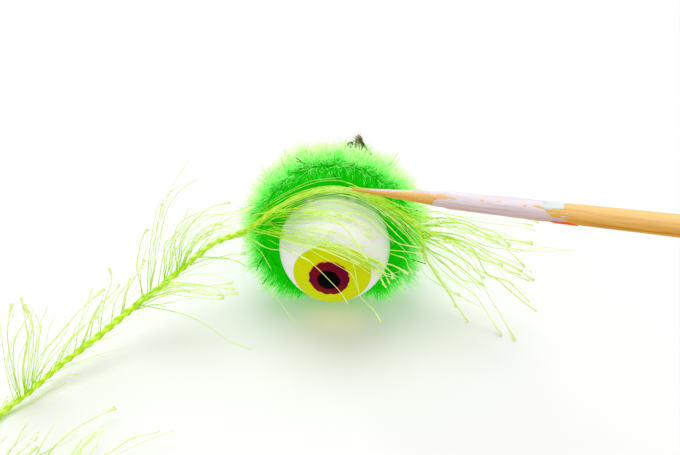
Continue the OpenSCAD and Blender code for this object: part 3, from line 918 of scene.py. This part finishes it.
TAIL_SHARE = run_length(smooth(TAIL_ROUTE, 4)) / run_length(TAIL_LINE)
fringes = [
    tail_fringe("tail_fringe", tail_path, 0.0, TAIL_SHARE, 38, 41, 13, (6, 24)),
    tail_fringe("coil_fringe", tail_path, TAIL_SHARE, 0.995, 110, 45, 17, (14, 48)),
    cluster("tail_up", TAIL_UP, 9, 81),
    cluster("tail_arch", TAIL_ARCH, 12, 84),
    cluster("tail_under", TAIL_UNDER, 9, 87),
    lash_mesh("tail_long", strands(TAIL_LONG, 90), 91),
    cluster("tail_middle", TAIL_MIDDLE, 6, 92),
    cluster("tail_low", TAIL_LOW, 12, 95),
    cluster("coil_cluster", COIL_GUIDES, 5, 98),
    lash_mesh("tail_droop", strands(DROOP, 47), 48, 0.3, (0.12, 0.15)),
]
lash_mesh("ball_fringe", np.concatenate([comb(BALL_GUIDES[:4], 24, 50, 0.8, 0.2, 0.5),
                                         comb(BALL_GUIDES[3:], 12, 51, 0.5, 0.2, 0.6)]),
          52, 0.4, (0.05, 0.09))
lash_mesh("ball_strands", strands(BALL_STRANDS, 53), 54, 1.0, (0.09, 0.13))
lash_mesh("ball_tips", comb(TIP_STRANDS[:4], 7, 60, 0.5, 0.1, 0.85), 61, 1.0, (0.11, 0.16))
lash_mesh("side_tips", strands(TIP_STRANDS[4:], 62), 63, 1.0, (0.13, 0.2))
lash_mesh("brow_band", comb(BAND_GUIDES, 38, 55, 0.5, 0.6, 0.5), 56, 0.15, (0.04, 0.07))
cluster("brow_fan", FAN_GUIDES, 17, 65, 1.0, 0.3, 0.6, 0.3, (0.07, 0.11))
cluster("brow_spray", SPRAY_GUIDES, 18, 57, 1.1, 0.0, 0.7, 0.5, (0.13, 0.19))


# ---- stick ----

def stick_r(s):
    """The skewer's radius at a length s from its point."""
    return np.interp(s, [0, TAPER_H, PAINTED_H], [0.15, 0.94 * STICK_R, STICK_R])


STICK_SIDE = unit(np.cross([0, 0, 1.0], STICK_DIR))
STICK_UP = np.cross(STICK_DIR, STICK_SIDE)


def stick_points(s, angle, r):
    """Points about the skewer's axis; angle 0 is its side, 90 degrees its upper side."""
    return TIP + s[..., None] * STICK_DIR + r[..., None] * swung(STICK_SIDE, STICK_UP, angle)


def grain(s, angle, seed):
    """Long shallow grooves along the skewer."""
    rng = np.random.default_rng(seed)
    marks = np.zeros(np.broadcast(s, angle).shape)
    for _ in range(26):
        k = rng.integers(3, 22)
        marks = marks + rng.normal() / k ** 0.5 * np.cos(
            k * angle + rng.uniform(0, 6.3) + 0.5 * np.sin(s * rng.uniform(0.01, 0.05)))
    return marks


# Sockets of Blender's mix node that take and give colours
MIX_COLOR_A = 6
MIX_COLOR_B = 7
MIX_COLOR_OUT = 2


def along_stick_shaded_below(name, upper, lower, scale, roughness, bump):
    """Bands that run along the skewer, with painted shade: other, mostly darker colours on its lower
    side.
    """
    material = plain(name, upper[0][1], roughness, Specular_IOR_Level=0.12)
    shader, make, join = node_kit(material)
    where = make("ShaderNodeTexCoord").outputs["Object"]
    axes = Matrix([STICK_SIDE, STICK_UP, STICK_DIR]).transposed().to_euler()
    turn = make("ShaderNodeMapping", where, Location=place(TIP), Rotation=axes)
    turn.vector_type = "TEXTURE"
    turned = turn.outputs["Vector"]
    squeeze = make("ShaderNodeMapping", turned, Scale=(1, 1, 0.03)).outputs["Vector"]
    noise = make("ShaderNodeTexNoise", squeeze, Scale=scale, Detail=8.0, Roughness=0.65)
    split = make("ShaderNodeSeparateXYZ", turned)
    # Painted shade: the lower stops take over towards the skewer's underside
    height = make("ShaderNodeMapRange", From_Min=-0.35 * STICK_R * MM, From_Max=0.95 * STICK_R * MM)
    join(split.outputs["Y"], height.inputs["Value"])
    blend = make("ShaderNodeMix")
    blend.data_type = "RGBA"
    join(height.outputs["Result"], blend.inputs["Factor"])
    tinted(make, join, noise, lower, blend.inputs[MIX_COLOR_A])
    tinted(make, join, noise, upper, blend.inputs[MIX_COLOR_B])
    join(blend.outputs[MIX_COLOR_OUT], shader.inputs["Base Color"])
    embossed(make, join, noise, bump, shader)
    return material


# Each material's second list of stops is the painted shade of the skewer's underside
BAMBOO = along_stick_shaded_below(
    "bamboo", [(0.3, (0.8, 0.42, 0.11)), (0.5, (0.88, 0.58, 0.24)), (0.7, (0.76, 0.42, 0.11))],
    [(0.3, (0.57, 0.19, 0.006)), (0.5, (0.76, 0.37, 0.025)), (0.7, (0.5, 0.16, 0.004))], 1500, 0.5, 0.5)
LILAC = along_stick_shaded_below(
    "lilac_paint", [(0.35, (0.68, 0.6, 0.67)), (0.6, (0.82, 0.76, 0.8))],
    [(0.35, (0.53, 0.34, 0.32)), (0.6, (0.71, 0.54, 0.5))], 1800, 0.6, 0.6)
TEAL = along_stick_shaded_below(
    "teal_paint", [(0.35, (0.56, 0.7, 0.66)), (0.65, (0.74, 0.79, 0.79))],
    [(0.35, (0.44, 0.6, 0.56)), (0.65, (0.6, 0.68, 0.68))], 1500, 0.55, 0.5)
OLIVE = along_stick_shaded_below(
    "olive_wash", [(0.35, (0.66, 0.5, 0.12)), (0.65, (0.76, 0.56, 0.2))],
    [(0.35, (0.55, 0.4, 0.05)), (0.65, (0.66, 0.46, 0.08))], 1500, 0.55, 0.5)
RED = along_stick_shaded_below(
    "red_paint", [(0.35, (0.75, 0.06, 0.01)), (0.65, (0.9, 0.14, 0.02))],
    [(0.35, (0.8, 0.04, 0.005)), (0.65, (0.95, 0.12, 0.01))], 1500, 0.5, 0.5)


def stick_skin(name, rows, around, r, body, material, node):
    """A closed skin round the skewer's axis."""
    grid = stick_points(rows, around, r).reshape(-1, 3)
    mesh = mesh_of(name, grid, ring_faces(*rows.shape))
    return piece(name, mesh, body, [material], [node])


def skewer():
    """The bamboo skewer: a shaved point, long grain and a sawn end with a worn edge."""
    s = np.concatenate([np.linspace(0, 1.5, 8), np.linspace(1.9, TAPER_H, 90)[:-1],
                        np.linspace(TAPER_H, STICK_LENGTH - 0.25, 150),
                        [STICK_LENGTH - 0.12, STICK_LENGTH - 0.03, STICK_LENGTH]])
    rows, around = np.meshgrid(s, circle(48), indexing="ij")
    base = stick_r(rows)
    shaved = 0.05 * base * np.cos(5 * around + rows * 0.05) * (rows < TAPER_H + 2)
    r = base + shaved - 0.012 * (1 + grain(rows, around, 61)) * np.minimum(base, 1)
    r = np.minimum(r, base)
    r[-3:] -= np.array([0.02, 0.07, 0.16])[:, None]
    return stick_skin("skewer_bamboo", rows, around, r, "stick", BAMBOO, "skewer")


def brushed_film(name, s_from, s_to, at_angle, half_angle, seed, cover, thickness, material,
                 stands_for=(), streak=5.0, soft=1.5, feather=1.5):
    """Dry-brushed paint on the skewer: a film that dips under the wood where it is worn off.

    Angles are degrees, soft is how long its thin ends are, feather how thin they get, and
    streak how many times shorter than the rest some brush marks are."""
    at_angle, half_angle = math.radians(at_angle), math.radians(half_angle)
    dip, floor = 0.15, 0.16
    rng = np.random.default_rng(seed)
    rows = int((s_to - s_from) / 0.12) + 2
    columns = max(12, int(half_angle / math.pi * 96))
    s = np.linspace(s_from, s_to, rows)
    share = np.linspace(-1, 1, columns)
    rows_at, across = np.meshgrid(s, share, indexing="ij")
    angle = at_angle + half_angle * across
    marks = np.zeros_like(angle)
    for _ in range(40):
        k = rng.integers(2, 26)
        wave = rng.uniform(0.1, 2.2) * (1 if rng.random() < 0.7 else streak)
        marks += rng.normal() / k ** 0.35 * np.cos(k * angle + rng.uniform(0, 6.3)
                                                   + np.sin(wave * rows_at + rng.uniform(0, 6.3)))
    marks /= marks.std()
    edge = np.minimum(rows_at - s_from, s_to - rows_at) / soft
    if half_angle < math.pi - 0.01:
        edge = np.minimum(edge, (1 - np.abs(across)) / 0.35)
    height = thickness * np.clip(
        cover + 0.55 * marks + (np.minimum(edge, 1) - 1) * feather, -1.2, 1.0)
    height = np.where(height > 0, height, np.maximum(height * 2, -dip))
    height[[0, -1]] = -dip
    top = stick_points(rows_at, angle, stick_r(rows_at) + height)
    under = stick_points(rows_at, angle, stick_r(rows_at) - floor)
    index = np.arange(rows * columns).reshape(rows, columns)
    up = np.stack([index[:-1, :-1], index[:-1, 1:], index[1:, 1:], index[1:, :-1]], -1)
    faces = [up.reshape(-1, 4), up[..., ::-1].reshape(-1, 4) + index.size]
    for rim in (index[0], index[-1, ::-1], index[::-1, 0], index[:, -1]):
        far, near = rim[1:], rim[:-1]
        faces.append(np.stack([far, near, near + index.size, far + index.size], -1))
    mesh = mesh_of(name, np.concatenate([top, under]).reshape(-1, 3), faces)
    return piece(name, mesh, "stick", [material], stands_for)


skewer()
brushed_film("lilac_coat", 20.5, 52.5, 90, 180, 71, 1.1, 0.06, LILAC,
             ["lilac_paint"], streak=0.2, soft=9.0, feather=2.6)
brushed_film("lilac_streaks", 3, 29, 95, 60, 72, -0.15, 0.04, LILAC,
             streak=0.2, soft=5.0)
brushed_film("teal_patch", 45.4, 49.6, 100, 50, 73, 0.8, 0.08, TEAL,
             ["teal_dab"], streak=0.5)
brushed_film("olive_patch", 46.0, 49.5, 165, 30, 74, 0.0, 0.06, OLIVE, streak=0.3)
brushed_film("red_patch", 46.8, 51.2, -128, 26, 75, 1.3, 0.12, RED,
             ["red_dab"], soft=0.9)


def glue_smear():
    """A smear of glue that holds the skewer's point."""
    rows, around = np.meshgrid(np.linspace(-0.5, 2.4, 16), circle(24), indexing="ij")
    swell = np.sin(np.clip((rows + 0.5) / 2.9, 0.01, 0.99) * math.pi) ** 0.7
    r = 0.12 + 0.2 * swell * (1 + 0.12 * np.sin(3 * around + rows))
    return stick_skin("tip_glue", rows, around, r, "tip_bead", GLUE, "tip_glue_bead")


glue_smear()
for node in ("eye_glue_pad", "yarn_glue_drops"):
    for held in frame["nodes"][node].material_slots:
        held.material = GLUE


# ---- table and light ----

def make_table():
    mesh = bpy.data.meshes.new("table")
    low, high = -6000.0, 6000.0
    corners = place([[low, low, 0], [high, low, 0], [high, high, 0], [low, high, 0]])
    mesh.from_pydata(corners.tolist(), [], [(0, 1, 2, 3)])
    table = add_object("table", mesh)
    table.data.materials.append(plain("table_white", (0.84, 0.84, 0.84), 0.7))


def make_light(name, spot, aim, size, color, watts):
    data = bpy.data.lights.new(name, "AREA")
    data.shape = "DISK"
    data.size = size
    data.color = color
    data.energy = watts
    light = add_object(name, data)
    light.location = place(spot)
    way = Vector(place(aim) - place(spot))
    light.rotation_euler = way.to_track_quat("-Z", "Y").to_euler()


def light_the_set():
    world = bpy.data.worlds.new("studio")
    world.use_nodes = True
    light = world.node_tree.nodes["Background"].inputs
    light["Color"].default_value = (1, 1, 1, 1)
    light["Strength"].default_value = 0.83
    bpy.context.scene.world = world
    make_light("key", [-40, 130, 640], [0, 0, 0], 0.5, (1, 1, 1), 1.9)
    make_light("through_the_ball", [0, -2, 4.5], [0, -3, 0], 0.012, (1, 0.48, 0), 0.00015)
    bpy.context.scene.view_settings.view_transform = "Standard"


make_table()
light_the_set()
